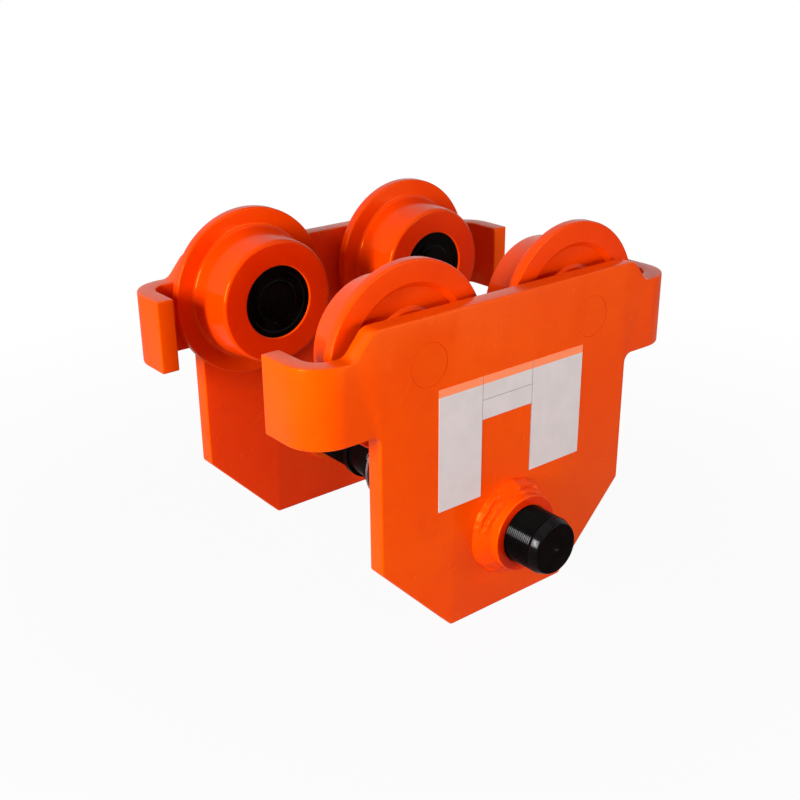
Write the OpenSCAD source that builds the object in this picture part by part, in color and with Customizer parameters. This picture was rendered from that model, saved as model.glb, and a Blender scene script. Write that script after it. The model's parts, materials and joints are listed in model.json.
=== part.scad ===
// Manual beam trolley with four flanged wheels, two bent side plates and a threaded load bar.
// X runs along the beam, Y across it, Z up. The origin is on the floor, under the middle.
// The trolley stands on the flat bottom edges of its side plates, with its eye leaning on the floor.

/* [Trolley] */
// Distance between the two axles of a side plate
axle_pitch = 180; // [166:1:200]
// Clear gap between the two side plates, as it is set
plate_gap = 247; // [226:1:270]
// Height of the axles above the floor
axle_h = 241; // [230:1:255]
// Height of the load bar's axis above the floor
bar_h = 73.5; // [68:0.5:80]

/* [Side plates] */
// Thickness of a side plate
plate_t = 16; // [12:0.5:19]
// Length of a plate over its bent ends
plate_len = 401; // [385:1:430]
// Width of the plate's lower part
leg_w = 275; // [250:1:280]
// Width of the flat bottom edge
foot_w = 130; // [100:1:170]
// Height up to which the bottom corners are cut off
corner_h = 75.5; // [50:0.5:100]
// Width of the raised top edge, between the shoulders' corners
crown_w = 284; // [270:1:292]
// Height of the top edge above the axles
crown_h = 38.5; // [36:0.5:46]
// Height of the bent ends' top above the axles
bumper_up = 18.5; // [8:0.5:20]
// Depth of the bent ends' bottom below the axles
bumper_down = 45.5; // [38:0.5:50]
// How far a bent end reaches back from the plate's outer face
bumper_reach = 60; // [45:1:66]
// Inside radius of the bends
bend_r = 16; // [10:0.5:18]
// Steepness of the shoulders, in degrees
shoulder_slope = 50; // [40:1:60]
// Radius of both curves of a shoulder
shoulder_r = 11; // [6:0.5:13]
// Radius between the lower part and a bent end
armpit_r = 8; // [4:0.5:12]
// Radius on the corners of the bottom edge
foot_r = 4; // [2:0.5:8]

/* [Wheels] */
// Diameter of the wheel's flange
flange_d = 154; // [144:1:160]
// Thickness of the flange
flange_t = 9.5; // [8:0.5:12]
// Gap between the flange and the side plate
wheel_gap = 6; // [4:0.5:8]
// Width of the whole wheel
wheel_w = 52.5; // [50.5:0.5:56]
// Tread diameter beside the flange
tread_root_d = 120; // [114:1:124]
// Tread diameter at the wheel's inner end
tread_end_d = 111; // [104:1:114]
// Radius of the tread's inner edge
tread_edge_r = 3.5; // [1:0.5:5]
// Radius between the tread and the flange
tread_root_r = 3.5; // [1:0.5:5]
// Rounding on the flange's rim
rim_r = 1.5; // [0.5:0.5:3]
// Inside diameter of the band on the flange's outer face
dish_d = 118; // [110:1:128]
// Depth of the dish in the flange's outer face
dish_depth = 4; // [2:0.5:5]
// Slope of the dish's side, as its width
dish_slope = 4; // [2:0.5:6]
// Diameter of the hub inside the dish
hub_d = 74; // [72:1:94]
// How far the hub stands out of the dish's floor
hub_h = 2.5; // [1:0.5:4]
// Radius on the dish's and the hub's edges
dish_r = 1; // [0.5:0.5:1.5]

/* [Bearings] */
// Bore of a ball bearing
bearing_bore = 30; // [25:1:32]
// Outside diameter of a ball bearing
bearing_od = 62; // [60:1:63]
// Width of a ball bearing
bearing_w = 16; // [14:0.5:16]
// Width of the rib between the two bearings
bearing_rib = 4; // [2:0.5:5]
// Height of that rib
rib_h = 2.5; // [1.5:0.5:3]
// Outside diameter of the inner ring
inner_ring_d = 39.5; // [38:0.5:41]
// Inside diameter of the outer ring
outer_ring_d = 52.5; // [51:0.5:54]
// Diameter of a ball
ball_d = 9.5; // [8.5:0.5:10]
// Balls in one bearing
ball_n = 9; // [7:1:11]

/* [Axles] */
// Diameter of the axle in the plate, and of its shoulder
axle_head_d = 36; // [34:0.5:38]
// Chamfer on the axle's outer end, which leaves the round outline on the plate
axle_mark = 0.4; // [0.3:0.1:1]
// Thickness of the retaining ring
snap_t = 1.6; // [1.2:0.1:2]
// Depth of the retaining ring's groove
snap_groove = 1; // [0.6:0.1:1.4]
// Height of the retaining ring above the axle
snap_h = 2.6; // [1.6:0.1:3]
// Width of the gap in the retaining ring
snap_gap = 7; // [4:0.5:10]
// Length of the axle past the retaining ring
axle_tip = 1.6; // [1:0.1:2]
// Chamfer on the axle's inner end
tip_chamfer = 0.5; // [0.3:0.1:0.8]

/* [Wheel caps] */
// Diameter of the cap's seat in the wheel
cap_d = 65.5; // [64.5:0.1:68]
// Depth of the cap's seat
cap_depth = 7.6; // [7:0.1:8]
// How far the cap's rim lies inside the wheel's face
cap_sink = 1.3; // [0.8:0.1:1.6]
// Wall thickness of the cap
cap_t = 1.2; // [0.8:0.1:1.5]
// Outside diameter of the ring-shaped hollow in the cap
cap_ring_d = 54; // [50:1:57]
// Diameter of the raised middle of the cap
cap_mid_d = 40; // [36:1:44]
// Depth of the ring-shaped hollow
cap_ring_depth = 1.2; // [0.6:0.1:1.4]
// Radius on the edges of the cap's steps
cap_edge_r = 0.4; // [0.2:0.1:0.6]
// Chamfer on the edge of the wheel's bore
bore_chamfer = 0.9; // [0.5:0.1:1.2]

/* [Load bar] */
// Diameter of the load bar
bar_d = 50; // [44:1:52]
// How far the bar stands out of a threaded collar
bar_out = 34.5; // [32:0.5:45]
// Pitch of the bar's two threads
thread_pitch = 2; // [1.5:0.1:3]
// Depth of the thread
thread_depth = 1.1; // [0.8:0.1:1.3]
// Length of the smooth band between the thread and the end's chamfer
bar_band = 1; // [1:0.5:4]
// Chamfer on the bar's ends
bar_chamfer = 4.5; // [2:0.5:6]
// Radius where the chamfer meets the end and the band
bar_edge_r = 1; // [0.5:0.1:1.5]
// Diameter of the centre drill hole
drill_d = 5; // [3:0.5:8]
// Depth of the centre drill hole
drill_depth = 6; // [4:0.5:10]
// Least plain length between a stop ring and the thread
thread_gap = 3; // [2:0.5:6]

/* [Threaded collars] */
// Outside diameter of a threaded collar
collar_d = 68; // [64:1:76]
// Length of the collar outside the plate
collar_len = 20.5; // [16:0.5:28]
// Diameter of the collar's part inside the plate
spigot_d = 62; // [58:1:64]
// How far the collar stands out of the plate's inner face
collar_lip = 2.5; // [1:0.5:4]
// Chamfer on the collar's outer edges
collar_chamfer = 1; // [0.5:0.5:2]
// Leg length of the weld bead round the collar
weld_leg = 9; // [5:0.5:11]

/* [Suspension eye] */
// Thickness of the suspension eye
eye_t = 25; // [20:1:28]
// Radius of both round ends of the eye
eye_r = 37; // [35:0.5:44]
// Distance between the bar's axis and the hook hole's
eye_reach = 66; // [62:1:72]
// Diameter of the hook hole
eye_hole_d = 42; // [36:1:46]
// Chamfer on the hook hole's edges
eye_chamfer = 3; // [1:0.5:4]
// Chamfer on the eye's outer edges
eye_edge = 2; // [1:0.5:3]

/* [Bar fittings] */
// Diameter of a fixed collar
stop_d = 59; // [58:0.5:66]
// Length of a fixed collar
stop_len = 14; // [12:0.5:18]
// Chamfer on a fixed collar's ends
stop_chamfer = 1; // [0.5:0.5:2]
// Diameter of a thrust washer
washer_d = 72; // [66:1:80]
// Thickness of a thrust washer
washer_t = 3; // [2:0.5:4]
// Diameter of a spring pin
pin_d = 8; // [6:0.5:9]
// Bore of a spring pin
pin_bore = 4; // [3:0.5:4.5]
// Width of the slot along a spring pin
pin_slot = 1.2; // [0.8:0.1:2]
// Diameter of a stop ring, which stops a threaded collar before the wheels meet
limit_d = 56; // [54:0.5:60]
// Width of a stop ring
limit_w = 6; // [4:0.5:8]
// Depth of the groove that holds a stop ring
limit_groove = 1.5; // [1:0.5:2]
// Distance of a stop ring's outer side from the bar's middle
limit_at = 62; // [58:1:66]
// Diameter of the hole for a tommy bar
tommy_d = 14; // [12:0.5:14]
// Distance of the tommy bar's hole from the bar's middle
tommy_at = 43; // [42:0.5:45]
// How far the pins lean up from level, in degrees
pin_lean = 25; // [0:5:45]

/* [Label] */
// Width of the sticker
label_w = 161; // [140:1:170]
// Distance of the sticker's top below the axles
label_drop = 23; // [22:0.5:24]
// Height of the sticker's middle panel
label_mid_h = 37.5; // [30:0.5:44]
// Height of the left panel
label_left_h = 106; // [90:1:110]
// Height of the right panel
label_right_h = 99.5; // [85:0.5:110]
// Width of the left panel
label_left_w = 46; // [36:1:52]
// Width of the right panel
label_right_w = 59.5; // [45:0.5:64]
// Thickness of the sticker
label_t = 0.3; // [0.2:0.05:0.5]

/* [Fits] */
// Radial clearance where one piece turns on or slides on another
run_fit = 0.08; // [0.05:0.01:0.1]
// Radial clearance left at pressed and welded joints
press_fit = 0.02; // [0.01:0.01:0.03]
// Gap between faces that turn past each other
face_gap = 0.3; // [0.2:0.05:0.4]
// Gap between the cap's seat and the bearing behind it
seat_gap = 0.5; // [0.3:0.1:0.6]

/* [Hidden] */
$fn = 96;
paint = [0.94, 0.32, 0.03];
black_steel = [0.05, 0.05, 0.055];
bright_steel = [0.72, 0.72, 0.74];
black_plastic = [0.03, 0.03, 0.033];
film = [0.82, 0.82, 0.83];
// Extra length that makes a cut run clear of the solid that it cuts
cut = 1;
half_gap = plate_gap / 2;
outer_y = half_gap + plate_t;
// Places along a wheel's axle, counted from the plate's inner face towards the beam
wheel_end = wheel_gap + wheel_w;
flange_in = wheel_gap + flange_t;
dish_floor = wheel_gap + dish_depth;
cap_seat = wheel_end - cap_depth;
rib_at = cap_seat - seat_gap - bearing_w - bearing_rib;
bearing_a = rib_at - bearing_w;
bearing_b = rib_at + bearing_rib;
bearing_end = bearing_b + bearing_w;
axle_end = bearing_end + snap_t + axle_tip;
bearing_pitch_r = (inner_ring_d + outer_ring_d) / 4;
// Places along the bar, counted from its middle
eye_half = eye_t / 2;
washer_at = eye_half + face_gap;
stop_at = washer_at + washer_t + face_gap;
pin_at = stop_at + stop_len / 2;
bar_half = outer_y + collar_len + bar_out;
thread_to = bar_half - bar_chamfer - bar_band;
thread_n = floor((thread_to - limit_at - thread_gap) / thread_pitch);
thread_from = thread_to - thread_n * thread_pitch;
// The eye leans until its round end just touches the floor
eye_lean = acos((bar_h - eye_r) / eye_reach);

// Vectors for the corners of an outline
function unit(v) = v / norm(v);
function turn(p, i) = let (n = len(p), a = p[i] - p[(i + n - 1) % n], b = p[(i + 1) % n] - p[i])
    a[0] * b[1] - a[1] * b[0];
function back(p, i) = unit(p[(i + len(p) - 1) % len(p)] - p[i]);
function ahead(p, i) = unit(p[(i + 1) % len(p)] - p[i]);
function half_angle(p, i) = acos(back(p, i) * ahead(p, i)) / 2;
function arc_centre(p, r, i) = p[i] + unit(back(p, i) + ahead(p, i)) * r[i] / sin(half_angle(p, i));
function arc_ends(p, r, i) = let (d = r[i] / tan(half_angle(p, i)))
    r[i] > 0 ? [p[i] + back(p, i) * d, p[i] + ahead(p, i) * d] : [p[i]];

// What lies between the chord and the arc of a rounded corner
module arc_slice(p, r, i) {
    intersection() {
        translate(arc_centre(p, r, i)) circle(r[i]);
        polygon([arc_ends(p, r, i)[0], p[i], arc_ends(p, r, i)[1]]);
    }
}

// An outline drawn anticlockwise whose corners have the given radii, each a true arc
module rounded(p, r) {
    difference() {
        union() {
            polygon([for (i = [0 : len(p) - 1]) each arc_ends(p, r, i)]);
            for (i = [0 : len(p) - 1]) if (r[i] > 0 && turn(p, i) > 0) arc_slice(p, r, i);
        }
        for (i = [0 : len(p) - 1]) if (r[i] > 0 && turn(p, i) < 0) arc_slice(p, r, i);
    }
}

// A ring between two radii, from one place along Z to another
module ring(r_in, r_out, from, to) {
    translate([0, 0, from]) difference() {
        cylinder(r = r_out, h = to - from);
        translate([0, 0, -cut]) cylinder(r = r_in, h = to - from + 2 * cut);
    }
}

// Side is -1 for the front plate's half and 1 for the rear plate's
module half(side) {
    if (side < 0) mirror([0, 1, 0]) children();
    else children();
}

// Puts what is drawn along Z on an axle, with Z = 0 at the plate's inner face
module corner(side, end) {
    half(side) translate([end * axle_pitch / 2, half_gap, axle_h]) rotate([90, 0, 0]) children();
}

// Puts what is drawn along Z on the bar's axis, with Z outwards from the bar's middle
module on_bar(side) {
    half(side) translate([0, 0, bar_h]) rotate([-90, 0, 0]) children();
}

// A hole or pin across the bar, leaning by an angle up from the -X direction
module across_bar(lean, d, length) {
    translate([0, 0, bar_h]) rotate([0, lean - 90, 0]) cylinder(d = d, h = length, center = true);
}

// Front view of a side plate
module plate_outline() {
    top = axle_h + crown_h;
    end_top = axle_h + bumper_up;
    end_bottom = axle_h - bumper_down;
    run = (crown_h - bumper_up) / tan(shoulder_slope);
    right = [
        [foot_w / 2, 0], [leg_w / 2, corner_h], [leg_w / 2, end_bottom], [plate_len / 2, end_bottom],
        [plate_len / 2, end_top], [crown_w / 2 + run, end_top], [crown_w / 2, top]
    ];
    radii = [foot_r, foot_r, armpit_r, 0, 0, shoulder_r, shoulder_r];
    n = len(right);
    rounded(
        concat(right, [for (i = [n - 1 : -1 : 0]) [-right[i][0], right[i][1]]]),
        concat(radii, [for (i = [n - 1 : -1 : 0]) radii[i]])
    );
}

// Top view of a side plate with its bent ends
module plate_bend() {
    l = plate_len / 2;
    tip = outer_y - bumper_reach;
    rounded(
        [[-l, tip], [plate_t - l, tip], [plate_t - l, half_gap], [l - plate_t, half_gap],
         [l - plate_t, tip], [l, tip], [l, outer_y], [-l, outer_y]],
        [0, 0, bend_r, bend_r, 0, 0, bend_r + plate_t, bend_r + plate_t]
    );
}

module side_plate() {
    color(paint) difference() {
        intersection() {
            translate([0, outer_y + cut, 0]) rotate([90, 0, 0])
                linear_extrude(height = bumper_reach + 2 * cut) plate_outline();
            translate([0, 0, -cut]) linear_extrude(height = axle_h + crown_h + 2 * cut) plate_bend();
        }
        for (end = [-1, 1])
            translate([end * axle_pitch / 2, outer_y + cut, axle_h]) rotate([90, 0, 0])
                cylinder(d = axle_head_d + 2 * press_fit, h = plate_t + 2 * cut);
        translate([0, outer_y + cut, bar_h]) rotate([90, 0, 0])
            cylinder(d = spigot_d + 2 * press_fit, h = plate_t + 2 * cut);
    }
}

// Collar with the internal thread, welded into the plate
module threaded_collar() {
    r_bore = bar_d / 2 + run_fit;
    c = collar_chamfer;
    color(paint) rotate_extrude() polygon([
        [r_bore, half_gap - collar_lip + c], [r_bore + c, half_gap - collar_lip],
        [spigot_d / 2 - c, half_gap - collar_lip], [spigot_d / 2, half_gap - collar_lip + c],
        [spigot_d / 2, outer_y], [collar_d / 2, outer_y],
        [collar_d / 2, outer_y + collar_len - c], [collar_d / 2 - c, outer_y + collar_len],
        [r_bore + c, outer_y + collar_len], [r_bore, outer_y + collar_len - c]
    ]);
}

module weld_bead() {
    color(paint) rotate_extrude()
        translate([collar_d / 2 + press_fit, outer_y]) intersection() {
            circle(r = weld_leg);
            square(weld_leg + cut);
        }
}

// Blank sticker shaped as an upside-down U
module label() {
    top = axle_h - label_drop;
    l = label_w / 2;
    color(film) translate([0, -outer_y, 0]) rotate([90, 0, 0]) linear_extrude(height = label_t)
        polygon([
            [-l, top], [-l, top - label_left_h], [label_left_w - l, top - label_left_h],
            [label_left_w - l, top - label_mid_h], [l - label_right_w, top - label_mid_h],
            [l - label_right_w, top - label_right_h], [l, top - label_right_h], [l, top]
        ]);
}

// Load bar: plain in the middle, with ridges at the thread's pitch towards both ends
module load_bar() {
    r = bar_d / 2;
    crest = thread_pitch / 8;
    ridges = [for (i = [0 : thread_n - 1]) let (y = thread_from + i * thread_pitch) each [
        [r - thread_depth, y + (thread_pitch - crest) / 2],
        [r, y + thread_pitch - crest], [r, y + thread_pitch]
    ]];
    groove = r - limit_groove;
    profile = concat(
        [[0, 0], [r, 0], [r, limit_at - limit_w - press_fit], [groove, limit_at - limit_w - press_fit],
         [groove, limit_at + press_fit], [r, limit_at + press_fit], [r, thread_from]],
        ridges,
        [[r, bar_half - bar_chamfer], [r - bar_chamfer, bar_half], [0, bar_half]]);
    first_edge = len(profile) - 3;
    radii = [for (i = [0 : len(profile) - 1]) i == first_edge || i == first_edge + 1 ? bar_edge_r : 0];
    color(black_steel) difference() {
        for (s = [-1, 1]) on_bar(s) rotate_extrude() rounded(profile, radii);
        for (s = [-1, 1]) {
            on_bar(s) translate([0, 0, bar_half - drill_depth])
                cylinder(d1 = 0, d2 = drill_d * (drill_depth + cut) / drill_depth, h = drill_depth + cut);
            translate([0, s * pin_at, 0]) across_bar(pin_lean, pin_d + 2 * press_fit, stop_d + 2 * cut);
            translate([0, s * tommy_at, 0]) across_bar(pin_lean + 90, tommy_d, bar_d + 2 * cut);
        }
    }
}

// Collar pinned to the bar beside the eye
module fixed_collar(side) {
    c = stop_chamfer;
    color(black_steel) difference() {
        on_bar(side) rotate_extrude() polygon([
            [bar_d / 2 + press_fit, stop_at], [stop_d / 2 - c, stop_at], [stop_d / 2, stop_at + c],
            [stop_d / 2, stop_at + stop_len - c], [stop_d / 2 - c, stop_at + stop_len],
            [bar_d / 2 + press_fit, stop_at + stop_len]
        ]);
        translate([0, side * pin_at, 0]) across_bar(pin_lean, pin_d + 2 * press_fit, stop_d + 2 * cut);
    }
}

// Closed stop ring, shrunk into its groove
module stop_ring() {
    color(black_steel) ring(bar_d / 2 - limit_groove + press_fit, limit_d / 2, limit_at - limit_w, limit_at);
}

// Slotted spring pin through a fixed collar and the bar
module spring_pin(side) {
    color(bright_steel) translate([0, side * pin_at, bar_h]) rotate([0, pin_lean - 90, 0])
        difference() {
            cylinder(d = pin_d, h = stop_d - 2 * stop_chamfer, center = true);
            cylinder(d = pin_bore, h = stop_d, center = true);
            translate([0, -pin_slot / 2, -stop_d / 2]) cube([pin_d, pin_slot, stop_d]);
        }
}

module thrust_washer() {
    color(bright_steel) ring(bar_d / 2 + run_fit, washer_d / 2, washer_at, washer_at + washer_t);
}

// Body of the eye without its holes, hanging straight down, with chamfered edges all round
module eye_body() {
    c = eye_edge;
    section = [
        [0, -eye_half], [eye_r - c, -eye_half], [eye_r, c - eye_half],
        [eye_r, eye_half - c], [eye_r - c, eye_half], [0, eye_half]
    ];
    rotate([90, 0, 0]) rotate_extrude() polygon(section);
    translate([0, 0, -eye_reach]) {
        rotate([90, 0, 0]) rotate_extrude() polygon(section);
        linear_extrude(height = eye_reach) union() {
            polygon(section);
            mirror([1, 0]) polygon(section);
        }
    }
}

// Suspension eye, which swings on the bar
module suspension_eye() {
    color(black_steel) translate([0, 0, bar_h]) rotate([0, -eye_lean, 0]) difference() {
        eye_body();
        rotate([90, 0, 0]) cylinder(r = bar_d / 2 + run_fit, h = eye_t + 2 * cut, center = true);
        translate([0, 0, -eye_reach]) rotate([90, 0, 0]) {
            cylinder(d = eye_hole_d, h = eye_t + 2 * cut, center = true);
            for (flip = [0, 180]) rotate([flip, 0, 0]) translate([0, 0, eye_half - eye_chamfer])
                cylinder(d1 = eye_hole_d, d2 = eye_hole_d + 2 * (eye_chamfer + cut), h = eye_chamfer + cut);
        }
    }
}

// Axle: its head is welded flush in the plate, its shoulder carries the first bearing's inner ring
module axle() {
    r = bearing_bore / 2;
    color(paint) rotate_extrude() polygon([
        [0, -plate_t], [axle_head_d / 2 - axle_mark, -plate_t], [axle_head_d / 2, axle_mark - plate_t],
        [axle_head_d / 2, bearing_a], [r, bearing_a], [r, bearing_end],
        [r - snap_groove, bearing_end], [r - snap_groove, bearing_end + snap_t + press_fit],
        [r, bearing_end + snap_t + press_fit], [r, axle_end - tip_chamfer],
        [r - tip_chamfer, axle_end], [0, axle_end]
    ]);
}

// Wheel: a dished flange on the plate's side, a tapered tread, and a bore for two bearings and a cap
module wheel() {
    r_bore = bearing_od / 2 + press_fit;
    r_seat = cap_d / 2;
    r_dish = dish_d / 2;
    color(paint) rotate_extrude() rounded(
        [
            [r_bore, dish_floor - hub_h], [hub_d / 2, dish_floor - hub_h],
            [hub_d / 2 + hub_h, dish_floor], [r_dish - dish_slope, dish_floor], [r_dish, wheel_gap],
            [flange_d / 2, wheel_gap], [flange_d / 2, flange_in], [tread_root_d / 2, flange_in],
            [tread_end_d / 2, wheel_end], [r_seat + bore_chamfer, wheel_end],
            [r_seat, wheel_end - bore_chamfer], [r_seat, cap_seat], [r_bore, cap_seat],
            [r_bore, bearing_b], [r_bore - rib_h, bearing_b], [r_bore - rib_h, rib_at], [r_bore, rib_at]
        ],
        [0, dish_r, dish_r, dish_r, dish_r, rim_r, rim_r, tread_root_r, tread_edge_r,
         0, 0, 0, 0, 0, 0, 0, 0]
    );
}

// The two bearings of one wheel share the shapes below
module both_bearings() {
    for (at = [bearing_a, bearing_b]) translate([0, 0, at]) children();
}

module ball_track(r) {
    translate([0, 0, bearing_w / 2]) rotate_extrude() translate([bearing_pitch_r, 0]) circle(r = r);
}

module outer_rings() {
    color(bright_steel) both_bearings() difference() {
        ring(outer_ring_d / 2, bearing_od / 2, 0, bearing_w);
        ball_track(ball_d / 2 + run_fit);
    }
}

module inner_rings() {
    color(bright_steel) both_bearings() difference() {
        ring(bearing_bore / 2 + press_fit, inner_ring_d / 2, 0, bearing_w);
        ball_track(ball_d / 2 + press_fit);
    }
}

module balls() {
    color(bright_steel) both_bearings() for (i = [0 : ball_n - 1]) rotate(i * 360 / ball_n)
        translate([bearing_pitch_r, 0, bearing_w / 2]) sphere(d = ball_d);
}

// Sleeve between the two inner rings
module spacer() {
    color(bright_steel) ring(bearing_bore / 2 + press_fit, axle_head_d / 2, rib_at, bearing_b);
}

// Open retaining ring in the axle's groove
module snap_ring() {
    r = bearing_bore / 2;
    color(black_steel) difference() {
        ring(r - snap_groove + press_fit, r + snap_h, bearing_end, bearing_end + snap_t);
        translate([0, -snap_gap / 2, bearing_end - cut]) cube([r + snap_h + cut, snap_gap, snap_t + 2 * cut]);
    }
}

// Moulded cap with a flat rim, a ring-shaped hollow and a raised middle
module wheel_cap() {
    face = wheel_end - cap_sink;
    low = face - cap_ring_depth;
    mid = face - cap_ring_depth / 2;
    r = cap_d / 2 - press_fit;
    ramp = cap_ring_depth;
    e = cap_edge_r;
    color(black_plastic) rotate_extrude() rounded(
        [
            [0, mid - cap_t], [cap_mid_d / 2 - ramp, mid - cap_t], [cap_mid_d / 2, low - cap_t],
            [cap_ring_d / 2 + cap_t, low - cap_t], [cap_ring_d / 2 + cap_t, face - cap_t],
            [r - cap_t, face - cap_t], [r - cap_t, cap_seat], [r, cap_seat], [r, face],
            [cap_ring_d / 2 + ramp, face], [cap_ring_d / 2, low], [cap_mid_d / 2, low],
            [cap_mid_d / 2 - ramp, mid], [0, mid]
        ],
        [0, 0, 0, 0, 0, 0, 0, 0, e, e, e, e, e, 0]
    );
}

half(-1) side_plate();  // front_plate
on_bar(-1) threaded_collar();  // front_threaded_collar
on_bar(-1) weld_bead();  // front_weld_bead
label();  // front_label
half(1) side_plate();  // rear_plate
on_bar(1) threaded_collar();  // rear_threaded_collar
on_bar(1) weld_bead();  // rear_weld_bead
load_bar();
fixed_collar(-1);  // front_fixed_collar
fixed_collar(1);  // rear_fixed_collar
spring_pin(-1);  // front_spring_pin
spring_pin(1);  // rear_spring_pin
on_bar(-1) stop_ring();  // front_stop_ring
on_bar(1) stop_ring();  // rear_stop_ring
on_bar(-1) thrust_washer();  // front_thrust_washer
on_bar(1) thrust_washer();  // rear_thrust_washer
suspension_eye();
corner(-1, -1) axle();  // front_left_axle
corner(-1, 1) axle();  // front_right_axle
corner(1, -1) axle();  // rear_left_axle
corner(1, 1) axle();  // rear_right_axle
corner(-1, -1) wheel();  // front_left_wheel
corner(-1, 1) wheel();  // front_right_wheel
corner(1, -1) wheel();  // rear_left_wheel
corner(1, 1) wheel();  // rear_right_wheel
corner(-1, -1) outer_rings();  // front_left_outer_rings
corner(-1, 1) outer_rings();  // front_right_outer_rings
corner(1, -1) outer_rings();  // rear_left_outer_rings
corner(1, 1) outer_rings();  // rear_right_outer_rings
corner(-1, -1) inner_rings();  // front_left_inner_rings
corner(-1, 1) inner_rings();  // front_right_inner_rings
corner(1, -1) inner_rings();  // rear_left_inner_rings
corner(1, 1) inner_rings();  // rear_right_inner_rings
corner(-1, -1) balls();  // front_left_balls
corner(-1, 1) balls();  // front_right_balls
corner(1, -1) balls();  // rear_left_balls
corner(1, 1) balls();  // rear_right_balls
corner(-1, -1) spacer();  // front_left_spacer
corner(-1, 1) spacer();  // front_right_spacer
corner(1, -1) spacer();  // rear_left_spacer
corner(1, 1) spacer();  // rear_right_spacer
corner(-1, -1) snap_ring();  // front_left_snap_ring
corner(-1, 1) snap_ring();  // front_right_snap_ring
corner(1, -1) snap_ring();  // rear_left_snap_ring
corner(1, 1) snap_ring();  // rear_right_snap_ring
corner(-1, -1) wheel_cap();  // front_left_cap
corner(-1, 1) wheel_cap();  // front_right_cap
corner(1, -1) wheel_cap();  // rear_left_cap
corner(1, 1) wheel_cap();  // rear_right_cap
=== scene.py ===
"""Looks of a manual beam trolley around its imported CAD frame.

Metres in the scene, millimetres in the sizes below. X runs along the beam, Y across it and Z up.
"""

import json
import math

import bmesh
import bpy
from mathutils import Matrix, Vector, noise


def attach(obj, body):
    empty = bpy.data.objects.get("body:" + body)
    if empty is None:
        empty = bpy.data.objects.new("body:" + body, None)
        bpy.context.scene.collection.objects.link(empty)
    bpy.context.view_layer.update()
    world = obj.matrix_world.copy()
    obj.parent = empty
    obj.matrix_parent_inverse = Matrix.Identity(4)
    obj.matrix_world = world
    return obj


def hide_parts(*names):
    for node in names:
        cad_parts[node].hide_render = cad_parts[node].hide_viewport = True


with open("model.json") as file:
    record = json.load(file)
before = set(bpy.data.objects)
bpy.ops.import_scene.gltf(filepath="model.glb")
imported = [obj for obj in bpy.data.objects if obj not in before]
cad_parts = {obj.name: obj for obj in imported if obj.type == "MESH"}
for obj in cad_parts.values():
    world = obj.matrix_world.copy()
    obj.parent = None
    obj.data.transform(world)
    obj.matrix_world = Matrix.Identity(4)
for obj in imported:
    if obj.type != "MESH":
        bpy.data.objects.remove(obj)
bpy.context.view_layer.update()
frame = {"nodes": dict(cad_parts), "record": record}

MM = 0.001
FULL = 2 * math.pi
SIDES = {"front": -1, "rear": 1}
ENDS = {"left": -1, "right": 1}

# Sizes from the part's source, in millimetres
PRESS_FIT, RUN_FIT = 0.02, 0.08
AXLE_PITCH, AXLE_H, BAR_H = 180, 241, 73.5
PLATE_T, HALF_GAP, HALF_LEN = 16, 123.5, 200.5
OUTER_Y = HALF_GAP + PLATE_T
LEG, FOOT, CORNER_H = 137.5, 65, 75.5
CROWN, CROWN_H, END_TOP, END_BOTTOM = 142, 38.5, 18.5, 45.5
BEND_IN, REACH = 16, 60
SHOULDER_SLOPE, SHOULDER_R, ARMPIT_R, FOOT_R = 50, 11, 8, 4
AXLE_HEAD_R = 18
COLLAR_R, COLLAR_LEN, SPIGOT_R, LIP = 34, 20.5, 31, 2.5

# The load bar, counted from its middle
BAR_R, BAR_HALF, THREAD_FROM, PITCH, DEPTH = 25, 194.5, 65, 2, 1.1
RING_FROM, RING_TO, RING_GROOVE = 56 - PRESS_FIT, 62 + PRESS_FIT, 1.5
PIN_AT, PIN_R, TOMMY_AT, TOMMY_R, PIN_LEAN = 23.1, 4 + PRESS_FIT, 43, 7, 25
LEAD, LEAD_DROP, DRILL_R, DRILL_DEPTH = 7.4, 2.81, 2.5, 6.6

# A wheel and its cap, with places counted from the plate's inner face towards the beam
WHEEL_GAP, FLANGE_IN, WHEEL_END = 6, 15.5, 58.5
FLANGE_R, ROOT_R, TREAD_R, TREAD_EDGE = 77, 60, 55.5, 3.5
BAND_R, DISH_SLOPE, DISH_FLOOR, HUB_R, HUB_H = 59, 4, 10, 37, 2.5
BORE_R, RIB_R, RIB_FROM, RIB_TO, BORE_CHAMFER = 31 + PRESS_FIT, 28.5 + PRESS_FIT, 30.4, 34.4, 0.9
SEAT_R, SEAT_AT, CAP_FACE, CAP_T = 32.75, 50.9, 57.2, 1.2
CAP_STEP, CAP_RIM_R, CAP_MID_R, CAP_RING_DEPTH, CAP_MID_DEPTH = 1.2, 28.2, 18.8, 1.2, 0.6

# The sticker's top, the height of its band, the rule in its middle panel, and that panel's two ends
LABEL_TOP, LABEL_BAND, LABEL_RULE, LABEL_LEFT, LABEL_RIGHT, HALF_LINE = 218, 6.8, 197.5, -34.5, 21, 0.28

# Camera, solved from the photograph
CAMERA_AT = Vector((-0.60572, -0.74285, 0.54333))
CAMERA_YAW, CAMERA_PITCH, CAMERA_ROLL = (math.radians(a) for a in (38.896, 22.610, 0.4525))
LENS, SENSOR = 50.79, 36


# Geometry helpers

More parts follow.
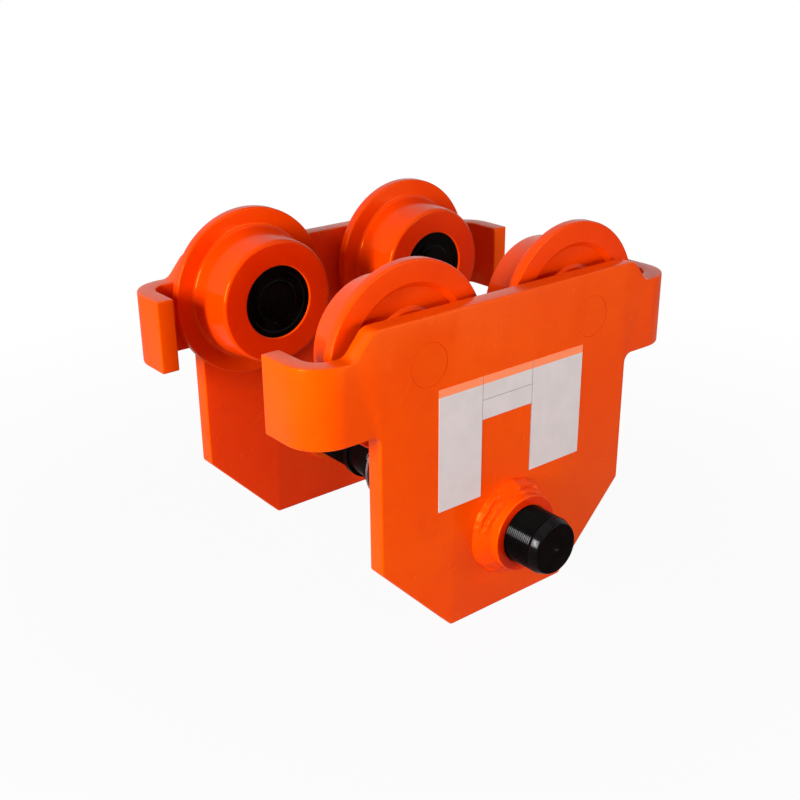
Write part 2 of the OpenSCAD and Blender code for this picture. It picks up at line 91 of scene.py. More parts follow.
def rounded(corners, closed=True, step=math.radians(9)):
    """The corners are (x, y, radius). Gives the outline with each corner as an arc."""
    out = []
    n = len(corners)
    for i, (x, y, r) in enumerate(corners):
        p = Vector((x, y))
        if r <= 0 or (not closed and i in (0, n - 1)):
            out.append((x, y))
            continue
        a = (Vector(corners[i - 1][:2]) - p).normalized()
        b = (Vector(corners[(i + 1) % n][:2]) - p).normalized()
        half = a.angle(b) / 2
        centre = p + (a + b).normalized() * r / math.sin(half)
        start = p + a * r / math.tan(half) - centre
        end = p + b * r / math.tan(half) - centre
        turn = start.angle_signed(end)
        count = max(2, math.ceil(abs(turn) / step))
        for k in range(count + 1):
            t = -turn * k / count
            out.append((centre.x + start.x * math.cos(t) - start.y * math.sin(t),
                        centre.y + start.x * math.sin(t) + start.y * math.cos(t)))
    return out


def on_circle(bm, radius, y, count):
    """Vertices on a circle round Y."""
    angles = [FULL * k / count for k in range(count)]
    return [bm.verts.new((radius * math.cos(a), y, radius * math.sin(a))) for a in angles]


def join_rings(bm, a, b):
    """Faces between two closed rings of vertices. A ring that is one point gives triangles."""
    count = len(a)
    for k in range(count):
        quad = [a[k], a[(k + 1) % count], b[(k + 1) % count], b[k]]
        corners = list(dict.fromkeys(quad))
        if len(corners) > 2:
            bm.faces.new(corners)


def revolve(profile, segments=144):
    """A bmesh turned round Y from a closed profile of (radius, y)."""
    bm = bmesh.new()
    rings = []
    for r, y in profile:
        on_axis = r < 1e-6
        rings.append([bm.verts.new((0, y, 0))] * segments if on_axis else on_circle(bm, r, y, segments))
    for i in range(len(rings)):
        join_rings(bm, rings[i], rings[(i + 1) % len(rings)])
    return bm


def finish_mesh(name, bm, angle=28):
    """A mesh object from bm, in millimetres, with smooth shading between sharp edges."""
    bmesh.ops.recalc_face_normals(bm, faces=bm.faces)
    mesh = bpy.data.meshes.new(name)
    bmesh.ops.scale(bm, vec=(MM, MM, MM), verts=bm.verts)
    bm.to_mesh(mesh)
    bm.free()
    mesh.shade_smooth()
    mesh.set_sharp_from_angle(angle=math.radians(angle))
    obj = bpy.data.objects.new(name, mesh)
    bpy.context.scene.collection.objects.link(obj)
    return obj


def tidy_shading(obj, angle=28):
    """Merges doubles, turns every face outwards and marks the sharp edges again."""
    bm = bmesh.new()
    bm.from_mesh(obj.data)
    bmesh.ops.remove_doubles(bm, verts=bm.verts, dist=1e-6)
    bmesh.ops.recalc_face_normals(bm, faces=bm.faces)
    bm.to_mesh(obj.data)
    bm.free()
    obj.data.shade_smooth()
    obj.data.set_sharp_from_angle(angle=math.radians(angle))


def cut_cylinders(obj, cylinders):
    """Cuts cylinders (centre, axis, radius, length in mm) out of obj's mesh."""
    cutters = bmesh.new()
    for centre, axis, radius, length in cylinders:
        turn = Vector((0, 0, 1)).rotation_difference(Vector(axis)).to_matrix().to_4x4()
        bmesh.ops.create_cone(cutters, cap_ends=True, segments=96, radius1=radius * MM, radius2=radius * MM,
                              depth=length * MM, matrix=Matrix.Translation(Vector(centre) * MM) @ turn)
    mesh = bpy.data.meshes.new("cutter")
    cutters.to_mesh(mesh)
    cutters.free()
    cutter = bpy.data.objects.new("cutter", mesh)
    bpy.context.scene.collection.objects.link(cutter)
    cut = obj.modifiers.new("cut", "BOOLEAN")
    cut.operation, cut.object, cut.solver = "DIFFERENCE", cutter, "EXACT"
    bpy.context.view_layer.update()
    done = bpy.data.meshes.new_from_object(obj.evaluated_get(bpy.context.evaluated_depsgraph_get()))
    obj.modifiers.clear()
    obj.data = done
    bpy.data.objects.remove(cutter)


def place(obj, side, end=None):
    """Moves a piece turned round Y to the bar's axis, or to the axle at an end of a plate.

    On an axle, y is counted from the plate's inner face towards the beam.
    """
    sign = SIDES[side]
    shift = Vector((ENDS[end] * AXLE_PITCH / 2 * MM, 0, AXLE_H * MM)) if end else Vector((0, 0, BAR_H * MM))
    for v in obj.data.vertices:
        y = (HALF_GAP * MM - v.co.y) if end else v.co.y
        v.co = (v.co.x + shift.x, sign * y, v.co.z + shift.z)
    tidy_shading(obj)


def dress(obj, finish, body, node):
    """Gives a new piece its material and its body, and hides the CAD node that it stands for."""
    obj.data.materials.clear()
    obj.data.materials.append(finish)
    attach(obj, body)
    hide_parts(node)


def repaint(obj, finish, chosen):
    """Gives a second material to the faces that the function chosen picks."""
    obj.data.materials.append(finish)
    for face in obj.data.polygons:
        if chosen(face):
            face.material_index = 1


# Material helpers

def material(name):
    """A new node material, with its tree, its shader and its object coordinates."""
    mat = bpy.data.materials.new(name)
    mat.use_nodes = True
    tree = mat.node_tree
    shader = tree.nodes["Principled BSDF"]
    coords = tree.nodes.new("ShaderNodeTexCoord")
    return mat, tree, shader, coords.outputs["Object"]


def add(tree, kind, inputs=None, **values):
    """A node with its properties, and with a value or a link for each named input."""
    node = tree.nodes.new(kind)
    for key, value in values.items():
        setattr(node, key, value)
    for key, value in (inputs or {}).items():
        if isinstance(value, bpy.types.NodeSocket):
            tree.links.new(value, node.inputs[key])
        else:
            node.inputs[key].default_value = value
    return node


def noise_tex(tree, coords, scale, detail=3.0, rough=0.5):
    inputs = {"Vector": coords, "Scale": scale, "Detail": detail, "Roughness": rough}
    return add(tree, "ShaderNodeTexNoise", inputs).outputs["Fac"]


def remap(tree, value, low, high, to_low, to_high):
    inputs = {"Value": value, "From Min": low, "From Max": high, "To Min": to_low, "To Max": to_high}
    return add(tree, "ShaderNodeMapRange", inputs).outputs["Result"]


def mix(tree, fac, a, b):
    node = tree.nodes.new("ShaderNodeMix")
    node.data_type = "RGBA"
    for socket, value in ((node.inputs["Factor"], fac), (node.inputs[6], a), (node.inputs[7], b)):
        if isinstance(value, bpy.types.NodeSocket):
            tree.links.new(value, socket)
        else:
            socket.default_value = value
    return node.outputs[2]


def bump(tree, height, strength, distance, normal=None):
    inputs = {"Height": height, "Strength": strength, "Distance": distance}
    if normal is not None:
        inputs["Normal"] = normal
    return add(tree, "ShaderNodeBump", inputs).outputs["Normal"]


def compute(tree, operation, a, b):
    return add(tree, "ShaderNodeMath", {0: a, 1: b}, operation=operation).outputs[0]


def above(tree, value, limit):
    return compute(tree, "GREATER_THAN", value, limit)


def below(tree, value, limit):
    return compute(tree, "LESS_THAN", value, limit)


def times(tree, a, b):
    return compute(tree, "MULTIPLY", a, b)


def most(tree, a, b):
    return compute(tree, "MAXIMUM", a, b)


def distance(tree, value, at):
    """How far a value lies from a place."""
    off = compute(tree, "SUBTRACT", value, at)
    return add(tree, "ShaderNodeMath", {0: off}, operation="ABSOLUTE").outputs[0]


def vector_math(tree, operation, a, b):
    return add(tree, "ShaderNodeVectorMath", {0: a, 1: b}, operation=operation).outputs["Vector"]


def length_of(tree, vector):
    return add(tree, "ShaderNodeVectorMath", {0: vector}, operation="LENGTH").outputs["Value"]


def split(tree, coords):
    return add(tree, "ShaderNodeSeparateXYZ", {"Vector": coords}).outputs


def stretched(tree, coords, round_bar, along_bar):
    """Coordinates for the fine marks of a lathe, which run round Y."""
    scale = (round_bar, along_bar, round_bar)
    return add(tree, "ShaderNodeMapping", {"Vector": coords, "Scale": scale}).outputs["Vector"]


def linear(hex_colour):
    """A written sRGB colour as linear RGBA."""
    out = []
    for i in (0, 2, 4):
        c = int(hex_colour[i:i + 2], 16) / 255
        out.append(c / 12.92 if c <= 0.04045 else ((c + 0.055) / 1.055) ** 2.4)
    return (*out, 1)


# Materials

def make_paint(name, main="eb4b00", light="ee5200", dark="e14100", peel=0.06, roughness=(0.2, 0.28)):
    """Orange enamel: broad drift of colour, thin and thick coats, orange peel and a few specks."""
    mat, tree, shader, coords = material(name)
    drift = remap(tree, noise_tex(tree, coords, 9, 2), 0.35, 0.65, 0, 1)
    patches = remap(tree, noise_tex(tree, coords, 42, 4, 0.6), 0.5, 0.75, 0, 0.35)
    colour = mix(tree, drift, linear(main), linear(light))
    colour = mix(tree, patches, colour, linear(dark))
    specks = add(tree, "ShaderNodeTexVoronoi", {"Vector": coords, "Scale": 95.0}, feature="F1")
    spot = remap(tree, specks.outputs["Distance"], 0.045, 0.075, 1, 0)
    few = remap(tree, noise_tex(tree, coords, 23, 1), 0.64, 0.67, 0, 0.1)
    colour = mix(tree, times(tree, spot, few), colour, linear("6a2408"))
    tree.links.new(colour, shader.inputs["Base Color"])
    gloss = remap(tree, noise_tex(tree, coords, 60, 4), 0.3, 0.7, roughness[0], roughness[1])
    tree.links.new(gloss, shader.inputs["Roughness"])
    wave = bump(tree, noise_tex(tree, coords, 110, 2), 0.12, 0.0003)
    fine = bump(tree, noise_tex(tree, coords, 900, 2), peel, 0.0001, wave)
    tree.links.new(fine, shader.inputs["Normal"])
    shader.inputs["IOR"].default_value = 1.38
    shader.inputs["Specular Tint"].default_value = (1.0, 0.48, 0.06, 1)
    return mat


def bar_gloss(tree, coords):
    """Gloss of the load bar: burnished on the thread's crests, the lead-in and in the centre drill."""
    crest_gloss, lead_gloss, drill_gloss, other_gloss = 0.14, 0.24, 0.5, 0.08
    crest_depth, lead_margin, drill_margin = 0.4, 0.5, 0.3
    centred = vector_math(tree, "ADD", coords, (0, 0, -BAR_H * MM))
    radius = length_of(tree, vector_math(tree, "MULTIPLY", centred, (1, 0, 1)))
    along = distance(tree, split(tree, coords)["Y"], 0.0)
    crest = above(tree, radius, (BAR_R - crest_depth) * MM)
    on_lead = above(tree, along, (BAR_HALF - LEAD - lead_margin) * MM)
    lead = times(tree, above(tree, radius, (BAR_R - LEAD_DROP - crest_depth) * MM), on_lead)
    drill = below(tree, radius, (DRILL_R + drill_margin) * MM)
    turned = most(tree, times(tree, crest, crest_gloss), times(tree, lead, lead_gloss))
    return most(tree, turned, most(tree, times(tree, drill, drill_gloss), other_gloss))


def make_black(name, tone, roughness, turned=False, ior=1.4):
    """Clouded and finely grained black. A turned one has a lathe's marks, and the load bar's gloss."""
    mat, tree, shader, coords = material(name)
    shader.inputs["IOR"].default_value = ior
    cloud = remap(tree, noise_tex(tree, coords, 55, 4), 0.35, 0.7, 0, 1)
    colour = mix(tree, cloud, linear(tone), linear("0d0b0b"))
    tree.links.new(colour, shader.inputs["Base Color"])
    gloss = remap(tree, noise_tex(tree, coords, 210, 3), 0.3, 0.7, roughness[0], roughness[1])
    tree.links.new(gloss, shader.inputs["Roughness"])
    grain = bump(tree, noise_tex(tree, coords, 700, 3), 0.015 if turned else 0.06, 0.0001)
    if turned:
        marks = noise_tex(tree, stretched(tree, coords, 12.0, 2600.0), 1, 2)
        grain = bump(tree, marks, 0.015, 0.00008, grain)
        tree.links.new(bar_gloss(tree, coords), shader.inputs["Specular IOR Level"])
    tree.links.new(grain, shader.inputs["Normal"])
    return mat


def make_steel(name):
    """Bright turned steel with a thin, uneven film of oil."""
    mat, tree, shader, coords = material(name)
    shader.inputs["Metallic"].default_value = 1.0
    film = remap(tree, noise_tex(tree, coords, 80, 4), 0.4, 0.7, 0, 1)
    tree.links.new(mix(tree, film, linear("b9b9bd"), linear("8f8c86")), shader.inputs["Base Color"])
    gloss = remap(tree, noise_tex(tree, coords, 300, 3), 0.3, 0.7, 0.22, 0.38)
    tree.links.new(gloss, shader.inputs["Roughness"])
    marks = noise_tex(tree, stretched(tree, coords, 30.0, 3000.0), 1, 2)
    tree.links.new(bump(tree, marks, 0.2, 0.00008), shader.inputs["Normal"])
    return mat


def make_label(name):
    """Blank film: a salmon band along the top, and thin rules between its bare panels."""
    mat, tree, shader, coords = material(name)
    xyz = split(tree, coords)
    x, z = xyz["X"], xyz["Z"]
    left, right, half_line = LABEL_LEFT * MM, LABEL_RIGHT * MM, HALF_LINE * MM
    soft = remap(tree, noise_tex(tree, coords, 60, 3), 0.35, 0.65, 0, 1)
    colour = mix(tree, soft, linear("d4d7d6"), linear("ced2d0"))
    header = above(tree, z, (LABEL_TOP - LABEL_BAND) * MM)
    colour = mix(tree, header, colour, linear("fb8d55"))
    upright = [below(tree, distance(tree, x, at), half_line) for at in (left, right)]
    between = times(tree, above(tree, x, left), below(tree, x, right))
    level = below(tree, distance(tree, z, LABEL_RULE * MM), half_line)
    rules = most(tree, most(tree, *upright), times(tree, level, between))
    colour = mix(tree, rules, colour, linear("8d8787"))
    tree.links.new(colour, shader.inputs["Base Color"])
    gloss = remap(tree, noise_tex(tree, coords, 400, 2), 0.3, 0.7, 0.42, 0.55)
    tree.links.new(gloss, shader.inputs["Roughness"])
    tree.links.new(bump(tree, noise_tex(tree, coords, 300, 3), 0.1, 0.00008), shader.inputs["Normal"])
    return mat


PAINT = make_paint("orange_enamel")
PAINT_WHEEL = make_paint("orange_enamel_wheel", main="e83d00", light="ee4600", dark="dc3300",
                         roughness=(0.15, 0.22))
# A deeper red enamel: painted shade on the wheels' end faces towards the beam and on the collars' outer end
# faces
SHADE_PAINT = make_paint("orange_enamel_painted_shade", main="e12a00", light="e73400", dark="d21e00")
# A redder enamel: painted shade on the plates' faces towards the beam
INNER_SHADE_PAINT = make_paint("orange_enamel_inner_painted_shade", main="f03c0c", light="f2420e", dark="e6340a")
PAINT_WELD = make_paint("orange_enamel_weld", main="ea4200", light="ee4a00", dark="e03a00", peel=0.05,
                        roughness=(0.32, 0.4))
BLACK = make_black("black_steel_bar", "060505", (0.1, 0.17), turned=True, ior=1.25)
BLACK_FORGED = make_black("black_steel_forged", "1a1919", (0.34, 0.5))
CAP = make_black("cap_moulded", "020202", (0.08, 0.14), ior=1.12)
STEEL = make_steel("bright_steel_turned")
LABEL = make_label("label_film_blank")


# Side plates

def flat_plate(outline, cuts):
    """The plate before it is bent, with its rims rounded, and cut across where it will bend."""
    edge_r, edge_steps = 1.3, 4
    bm = bmesh.new()
    bm.faces.new([bm.verts.new((x, 0, z)) for x, z in outline])
    for at in cuts:
        for sign in (-1, 1):
            geom = bm.verts[:] + bm.edges[:] + bm.faces[:]
            bmesh.ops.bisect_plane(bm, geom=geom, plane_co=(sign * at, 0, 0), plane_no=(1, 0, 0), dist=1e-5)
    moved = bmesh.ops.extrude_face_region(bm, geom=bm.faces[:])["geom"]
    lifted = [v for v in moved if isinstance(v, bmesh.types.BMVert)]
    bmesh.ops.translate(bm, vec=(0, PLATE_T, 0), verts=lifted)
    bmesh.ops.recalc_face_normals(bm, faces=bm.faces)
    rims = [e for e in bm.edges if len(e.link_faces) == 2
            and {abs(round(f.normal.y)) for f in e.link_faces} == {0, 1}]
    bmesh.ops.bevel(bm, geom=rims, offset=edge_r, segments=edge_steps, profile=0.5, affect="EDGES",
                    clamp_overlap=True)
    return bm


def plate(side):
    """Cut flat with rounded edges, then bent round at both ends, as the real plate is."""
    outer_r = BEND_IN + PLATE_T
    bend_from = HALF_LEN - outer_r
    arc = outer_r * math.pi / 2
    tip, tip_r = bend_from + arc + REACH - outer_r, 1.5
    run = (CROWN_H - END_TOP) / math.tan(math.radians(SHOULDER_SLOPE))
    bottom, end_top, top = AXLE_H - END_BOTTOM, AXLE_H + END_TOP, AXLE_H + CROWN_H
    right = [(FOOT, 0, FOOT_R), (LEG, CORNER_H, FOOT_R), (LEG, bottom, ARMPIT_R), (tip, bottom, tip_r),
             (tip, end_top, tip_r), (CROWN + run, end_top, SHOULDER_R), (CROWN, top, SHOULDER_R)]
    outline = rounded(right + [(-x, z, r) for x, z, r in reversed(right)])
    bend_steps, flat_cuts = 14, [60, 100, 130]
    cuts = [bend_from + arc * k / bend_steps for k in range(bend_steps + 1)] + flat_cuts
    obj = finish_mesh(f"{side}_plate_painted", flat_plate(outline, cuts))
    middle, through = PLATE_T / 2, 3 * PLATE_T
    holes = [((end * AXLE_PITCH / 2, middle, AXLE_H), (0, 1, 0), AXLE_HEAD_R + PRESS_FIT, through)
             for end in ENDS.values()]
    holes.append(((0, middle, BAR_H), (0, 1, 0), SPIGOT_R + PRESS_FIT, through))
    cut_cylinders(obj, holes)
    sign = SIDES[side]
    for v in obj.data.vertices:
        s, depth = v.co.x / MM, v.co.y / MM
        x, y = abs(s), OUTER_Y - depth
        if abs(s) > bend_from:
            angle = min((abs(s) - bend_from) / outer_r, math.pi / 2)
            rest = max(abs(s) - bend_from - arc, 0)
            radius = outer_r - depth
            x = bend_from + radius * math.sin(angle)
            y = OUTER_Y - outer_r + radius * math.cos(angle) - rest
        v.co = (math.copysign(x, s) * MM, sign * y * MM, v.co.z)
    tidy_shading(obj)
    dress(obj, PAINT, f"{side}_side", f"{side}_plate")
    # Painted shade: the plate's faces towards the beam get the redder enamel
    repaint(obj, INNER_SHADE_PAINT, lambda face: sign * face.normal.y < -0.9
            and abs(face.center.y) > (HALF_GAP - 0.1) * MM)


# Wheels and caps

def wheel(side, end):
    edge, rim, hub_face = 1, 1.5, DISH_FLOOR - HUB_H
    profile = rounded([
        (BORE_R, hub_face, 0.6), (HUB_R, hub_face, edge), (HUB_R + HUB_H, DISH_FLOOR, edge),
        (BAND_R - DISH_SLOPE, DISH_FLOOR, edge), (BAND_R, WHEEL_GAP, edge), (FLANGE_R, WHEEL_GAP, rim),
        (FLANGE_R, FLANGE_IN, rim), (ROOT_R, FLANGE_IN, TREAD_EDGE), (TREAD_R, WHEEL_END, TREAD_EDGE),
        (SEAT_R + BORE_CHAMFER, WHEEL_END, 0.5), (SEAT_R, WHEEL_END - BORE_CHAMFER, 0.3),
        (SEAT_R, SEAT_AT, 0), (BORE_R, SEAT_AT, 0), (BORE_R, RIB_TO, 0), (RIB_R, RIB_TO, 0),
        (RIB_R, RIB_FROM, 0), (BORE_R, RIB_FROM, 0)])
    name = f"{side}_{end}"
    obj = finish_mesh(f"{name}_wheel_painted", revolve(profile, 192))
    place(obj, side, end)
    dress(obj, PAINT_WHEEL, f"{name}_wheel", f"{name}_wheel")
    # Painted shade: the wheel's end face towards the beam gets the deeper red enamel
    repaint(obj, SHADE_PAINT, lambda face: abs(face.normal.y) > 0.9
            and abs(face.center.y) < (HALF_GAP - WHEEL_END + 0.2) * MM)


def cap(side, end):
    """A thin moulded cap with a rim, a ring-shaped hollow and a raised middle."""
    face, edge, fine = CAP_FACE, 0.5, 0.3
    cap_r = SEAT_R - PRESS_FIT
    mid, ring = face - CAP_MID_DEPTH, face - CAP_RING_DEPTH
    profile = rounded([
        (0, mid - CAP_T, 0), (CAP_MID_R, mid - CAP_T, fine), (CAP_MID_R + CAP_STEP, ring - CAP_T, fine),
        (CAP_RIM_R, ring - CAP_T, fine), (CAP_RIM_R, face - CAP_T, fine),
        (cap_r - CAP_T, face - CAP_T, fine), (cap_r - CAP_T, SEAT_AT, 0), (cap_r, SEAT_AT, 0),
        (cap_r, face, edge), (CAP_RIM_R, face, edge),
        (CAP_RIM_R - CAP_STEP, ring, edge), (CAP_MID_R + CAP_STEP, ring, edge), (CAP_MID_R, mid, edge),
        (0, mid, 0)])
    name = f"{side}_{end}"
    obj = finish_mesh(f"{name}_cap_moulded", revolve(profile))
    place(obj, side, end)
    dress(obj, CAP, f"{name}_wheel", f"{name}_cap")


# Threaded collars and welds

def threaded_collar(side):
    bore, low, high = BAR_R + RUN_FIT, HALF_GAP - LIP, OUTER_Y + COLLAR_LEN
    low_chamfer, high_chamfer = 1, 1.2
    profile = rounded([
        (bore, low + low_chamfer, 0.5), (bore + low_chamfer, low, 0.5), (SPIGOT_R, low, 1),
        (SPIGOT_R, OUTER_Y, 0), (COLLAR_R, OUTER_Y, 0), (COLLAR_R, high, 1.2),
        (bore + high_chamfer, high, 0.4), (bore, high - high_chamfer, 0.4)])
    obj = finish_mesh(f"{side}_threaded_collar_painted", revolve(profile, 160))
    place(obj, side)
    dress(obj, PAINT, f"{side}_side", f"{side}_threaded_collar")
    # Painted shade: the collar's outer end face, where the bar's shadow falls, gets the deeper red enamel
    repaint(obj, SHADE_PAINT, lambda face: abs(face.normal.y) > 0.9
            and abs(face.center.y) > (high - 0.1) * MM)


# Lumps of the weld as (degrees, half width in degrees, height in mm)
LUMPS = [(86, 7, 0.9), (68, 6, 1.1), (52, 6, 1.0), (27, 8, 1.1), (-139, 9, 0.9), (-124, 8, 0.7),
         (-107, 9, 1.1), (5, 16, 0.4)]
# Creases between its passes as (degrees, half width, share of the way up the bead, depth in mm)
CREASES = [(72, 8, 0.55, 2.4), (141, 11, 0.42, 2.6), (-122, 7, 0.45, 1.2), (20, 8, 0.5, 0.9)]


def degrees_off(degrees, at):
    return (degrees - at + 180) % 360 - 180


def crease_at(degrees, share, wander):
    """How far the creases, with a lip on both sides of each, push the bead's surface."""
    push = 0
    for at, width, up, depth in CREASES:
        reach = math.exp(-(degrees_off(degrees, at) / (2.2 * width)) ** 4)
        off = share - up - wander
        upper_lip = math.exp(-((off - 0.13) / 0.08) ** 2)
        lower_lip = math.exp(-((off + 0.12) / 0.08) ** 2)
        push += depth * reach * (0.6 * upper_lip - math.exp(-(off / 0.06) ** 2) + 0.4 * lower_lip)
    return push


def uneven(d, seed, *waves):
    """Noise at a place, summed over waves of (frequency, height in mm)."""
    return sum(height * noise.noise(d * frequency + seed) for frequency, height in waves)


def weld_bead(side):
    """Hand-laid bead: uneven legs, ripples, creases between passes, and lumps where it starts and stops."""
    around, across = 600, 36
    base_leg, base_climb = 9.0, 13.0
    inner_r = COLLAR_R + PRESS_FIT
    seed = Vector((7.3, 1.9, 4.4)) if side == "front" else Vector((41.7, 9.2, 16.1))
    bm = bmesh.new()
    rings = []
    for i in range(around):
        phi = FULL * i / around
        degrees = math.degrees(phi)
        d = Vector((math.cos(phi), math.sin(phi), 0))
        leg = base_leg + uneven(d, seed, (2.1, 1.2), (7, 0.8), (19, 0.1))
        climb = base_climb + uneven(d, -seed, (2.7, 1.2), (8, 0.8), (21, 0.12))
        lump = sum(h * math.exp(-(degrees_off(degrees, at) / w) ** 2) for at, w, h in LUMPS)
        slow = noise.noise(d * 6 + seed)
        ring = []
        for j in range(across + 1):
            share = j / across
            psi = math.pi / 2 * share
            fine = noise.noise(Vector((d.x * 9, d.y * 9, psi * 2.2)) + seed)
            ripple = 0.03 * math.sin(phi * 84 + 2.4 * math.sin(psi) + 3 * slow)
            push = math.sin(2 * psi) * (0.4 * fine + ripple + lump * 0.9)
            push += crease_at(degrees, share, 0.07 * slow)
            r = inner_r + max((leg + push) * math.cos(psi) ** 2.4, 0)
            y = OUTER_Y + max((climb + push) * math.sin(psi) ** 1.3, 0)
            ring.append(bm.verts.new((r * d.x, y, r * d.y)))
        rings.append(ring)
    inner = on_circle(bm, inner_r, OUTER_Y, around)
    for i in range(around):
        k = (i + 1) % around
        a, b = rings[i], rings[k]
        for j in range(across):
            bm.faces.new((a[j], b[j], b[j + 1], a[j + 1]))
        bm.faces.new((a[0], inner[i], inner[k], b[0]))
        bm.faces.new((inner[i], a[across], b[across], inner[k]))
    obj = finish_mesh(f"{side}_weld_bead_lumpy", bm, 60)
    place(obj, side)
    dress(obj, PAINT_WELD, f"{side}_side", f"{side}_weld_bead")


# Load bar

def thread_end(bm, side, around, thread_to):
    """A true helix from the bare bar to the lead-in, as a grid whose rows climb by one pitch a turn."""
    # One pitch as (share of the pitch, share of the depth), from the crest to the root and back
    phases = ((0.0, 0), (0.06, 0), (0.51, 0.311), (0.6, 1), (0.72, 1), (0.92, 0.12))
    fade_in, fade_out = PITCH, 0.5 * PITCH
    pitches = int((thread_to - THREAD_FROM) / PITCH) + 3

    def vertex(row, column):
        turns = column / around
        phase, depth = phases[row % len(phases)]
        y = THREAD_FROM + (row // len(phases) + phase - 1 + turns) * PITCH
        held = min(max(y, THREAD_FROM), thread_to)
        ease = min((held - THREAD_FROM) / fade_in, (thread_to - held) / fade_out, 1)
        r = BAR_R - DEPTH * depth * max(ease, 0)
        return bm.verts.new((r * math.cos(FULL * turns), side * held, r * math.sin(FULL * turns)))

    grid = [[vertex(i, j) for j in range(around + 1)] for i in range(pitches * len(phases))]
    for a, b in zip(grid, grid[1:]):
        for j in range(around):
            bm.faces.new((a[j], a[j + 1], b[j + 1], b[j]))


def load_bar():
    """One bar with a true helix at each end: right-hand at the front, left-hand at the rear."""
    around = 128
    end_from = BAR_HALF - LEAD
    thread_to = end_from - 0.4
    tail = rounded([(BAR_R, thread_to, 0), (BAR_R, end_from, 3), (BAR_R - LEAD_DROP, BAR_HALF, 2),
                    (DRILL_R, BAR_HALF, 0.2), (0, BAR_HALF - DRILL_DEPTH, 0)], closed=False)
    bm = bmesh.new()
    for side in SIDES.values():
        thread_end(bm, side, around, thread_to)
        rings = [on_circle(bm, r, side * y, around) for r, y in tail[:-1]]
        rings.append([bm.verts.new((0, side * tail[-1][1], 0))] * around)
        for a, b in zip(rings, rings[1:]):
            join_rings(bm, a, b)
    groove_r = BAR_R - RING_GROOVE
    half = [(BAR_R, RING_FROM), (groove_r, RING_FROM), (groove_r, RING_TO), (BAR_R, RING_TO),
            (BAR_R, THREAD_FROM)]
    middle = [on_circle(bm, r, y, around) for r, y in [(r, -y) for r, y in reversed(half)] + half]
    for a, b in zip(middle, middle[1:]):
        join_rings(bm, a, b)
    bmesh.ops.remove_doubles(bm, verts=bm.verts, dist=1e-3)
    bmesh.ops.dissolve_degenerate(bm, edges=bm.edges, dist=1e-4)
    obj = finish_mesh("load_bar_threaded", bm, 20)
    for v in obj.data.vertices:
        v.co.z += BAR_H * MM
    lean, through = math.radians(PIN_LEAN), 62
    along_pin = Vector((math.cos(lean), 0, -math.sin(lean)))
    along_tommy = Vector((math.sin(lean), 0, math.cos(lean)))
    holes = [((0, s * TOMMY_AT, BAR_H), along_tommy, TOMMY_R, through) for s in SIDES.values()]
    holes += [((0, s * PIN_AT, BAR_H), along_pin, PIN_R, through) for s in SIDES.values()]
    cut_cylinders(obj, holes)
    tidy_shading(obj, 20)
    dress(obj, BLACK, "load_bar", "load_bar")


for side in SIDES:
    plate(side)
    threaded_collar(side)
    weld_bead(side)
    for end in ENDS:
        wheel(side, end)
        cap(side, end)
load_bar()

MATERIAL_OF = {"orange_paint": PAINT, "black_steel": BLACK, "bright_steel": STEEL, "cap_plastic": CAP,
               "label_film": LABEL}
SLOT_OF = {s["node"]: s["material_slot"] for s in frame["record"]["subparts"]}
for node, obj in frame["nodes"].items():
    chosen = BLACK_FORGED if node == "suspension_eye" else MATERIAL_OF[SLOT_OF[node]]
    if obj.material_slots:
        for slot in obj.material_slots:
            slot.material = chosen
    else:
        obj.data.materials.append(chosen)


# Floor, light and camera

def background(name, colour, near, far, mirrored):
    """A floor that keeps the object's shadow, and fades to white away from the object for the camera.

    near and far are the shares of plain white that the camera sees there, and mirrored is the share that
    reflections see.
    """
    mat = bpy.data.materials.new(name)
    mat.use_nodes = True
    tree = mat.node_tree
    out = tree.nodes["Material Output"]
    shader = tree.nodes["Principled BSDF"]
    shader.inputs["Base Color"].default_value = colour
    shader.inputs["Roughness"].default_value = 0.9
    shader.inputs["Specular IOR Level"].default_value = 0.1
    glow = add(tree, "ShaderNodeEmission", {"Color": (1, 1, 1, 1), "Strength": 1.0})
    path = tree.nodes.new("ShaderNodeLightPath")
    coords = tree.nodes.new("ShaderNodeTexCoord").outputs["Object"]
    level = remap(tree, length_of(tree, coords), 0.3, 0.85, near, far)
    seen = times(tree, path.outputs["Is Camera Ray"], level)
    others = most(tree, path.outputs["Is Glossy Ray"], path.outputs["Is Transmission Ray"])
    fac = most(tree, seen, times(tree, others, mirrored))
    both = tree.nodes.new("ShaderNodeMixShader")
    tree.links.new(fac, both.inputs[0])
    tree.links.new(shader.outputs[0], both.inputs[1])
    tree.links.new(glow.outputs[0], both.inputs[2])
    tree.links.new(both.outputs[0], out.inputs["Surface"])
    return mat


bm = bmesh.new()
bmesh.ops.create_grid(bm, x_segments=1, y_segments=1, size=6)
mesh = bpy.data.meshes.new("floor")
bm.to_mesh(mesh)
bm.free()
floor = bpy.data.objects.new("floor", mesh)
bpy.context.scene.collection.objects.link(floor)
floor.location.z = -0.0002
floor.data.materials.append(background("pale_floor", (0.45, 0.3, 0.3, 1), 0.95, 1.0, 0.15))

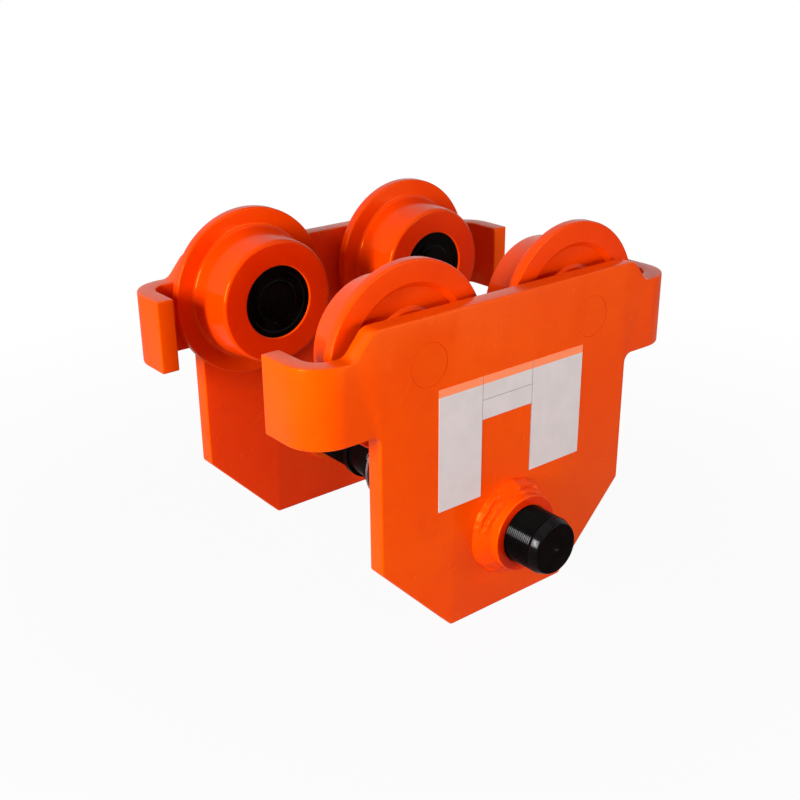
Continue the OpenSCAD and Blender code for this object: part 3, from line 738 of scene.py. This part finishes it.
world = bpy.data.worlds.new("studio")
bpy.context.scene.world = world
world.use_nodes = True
tree = world.node_tree
backdrop = tree.nodes["Background"]
path = tree.nodes.new("ShaderNodeLightPath")
glossy = times(tree, path.outputs["Is Glossy Ray"], 0.85)
seen = most(tree, path.outputs["Is Camera Ray"], glossy)
seen = most(tree, seen, path.outputs["Is Transmission Ray"])
ambient, ambient_colour = 0.16, (1.0, 0.22, 0.24, 1)
tree.links.new(remap(tree, seen, 0, 1, ambient, 1.0), backdrop.inputs["Strength"])
tree.links.new(mix(tree, above(tree, seen, 0.5), ambient_colour, (1, 1, 1, 1)), backdrop.inputs["Color"])


def softbox(name, azimuth, elevation, away, size, power, target=(0, 0, 0.14)):
    """An area lamp; azimuth 0 stands on the +Y side and turns towards +X."""
    az, el = math.radians(azimuth), math.radians(elevation)
    aim = Vector((math.sin(az) * math.cos(el), math.cos(az) * math.cos(el), math.sin(el)))
    lamp = bpy.data.lights.new(name, "AREA")
    lamp.shape, lamp.size, lamp.size_y, lamp.energy = "RECTANGLE", size[0], size[1], power
    obj = bpy.data.objects.new(name, lamp)
    obj.location = Vector(target) + aim * away
    obj.rotation_euler = aim.to_track_quat("Z", "Y").to_euler()
    bpy.context.scene.collection.objects.link(obj)


softbox("left_key", -103, 17, 1.5, (0.3, 0.7), 20)
softbox("left_strip", -103, 18, 1.4, (0.05, 0.5), 8.5)
softbox("front_fill", 160, 6, 1.7, (1.2, 0.45), 14)
softbox("overhead", 200, 78, 1.6, (1.5, 1.5), 5)

ahead = Vector((math.sin(CAMERA_YAW), math.cos(CAMERA_YAW), 0))
forward = ahead * math.cos(CAMERA_PITCH) - Vector((0, 0, math.sin(CAMERA_PITCH)))
level = Vector((math.cos(CAMERA_YAW), -math.sin(CAMERA_YAW), 0))
down = forward.cross(level)
right = math.cos(CAMERA_ROLL) * level + math.sin(CAMERA_ROLL) * down
up = math.sin(CAMERA_ROLL) * level - math.cos(CAMERA_ROLL) * down
camera = bpy.data.objects.new("camera", bpy.data.cameras.new("camera"))
camera.matrix_world = Matrix.Translation(CAMERA_AT) @ Matrix((right, up, -forward)).transposed().to_4x4()
camera.data.lens, camera.data.sensor_width, camera.data.sensor_fit = LENS, SENSOR, "HORIZONTAL"
camera.data.clip_start, camera.data.clip_end = 0.02, 50
bpy.context.scene.collection.objects.link(camera)
bpy.context.scene.camera = camera
bpy.context.scene.view_settings.view_transform = "Standard"
